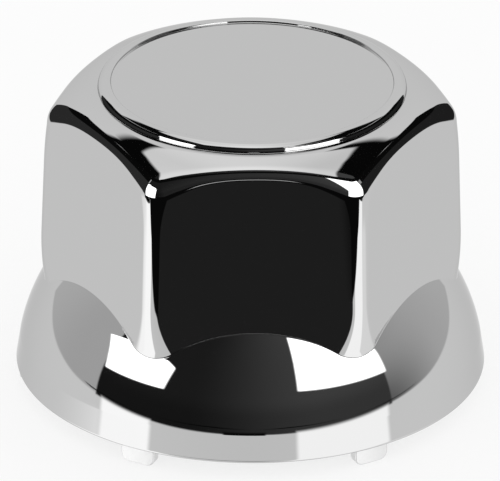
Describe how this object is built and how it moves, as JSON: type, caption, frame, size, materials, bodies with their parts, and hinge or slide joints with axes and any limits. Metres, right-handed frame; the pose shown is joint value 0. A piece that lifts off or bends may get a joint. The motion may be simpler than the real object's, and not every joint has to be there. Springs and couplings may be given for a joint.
{
  "type": "lug nut cap",
  "caption": "Chromed push-on cover for a flanged wheel nut: a rounded hexagon with a domed top and a sunk round face on a flared skirt, hollow inside, with tabs under its rim.",
  "frame": {"origin": "on the axis, level with the feet of the tabs under the rim", "axes": "+Z along the axis towards the domed top, away from the wheel; -Y faces the middle of one flat; +X runs through a corner of the hexagon"},
  "size_m": [0.0506, 0.0506, 0.0348],
  "materials": {
    "chrome": "bright chrome plate on moulded ABS"
  },
  "bodies": {
    "root": {"cap": "chrome"}
  },
  "joints": []
}
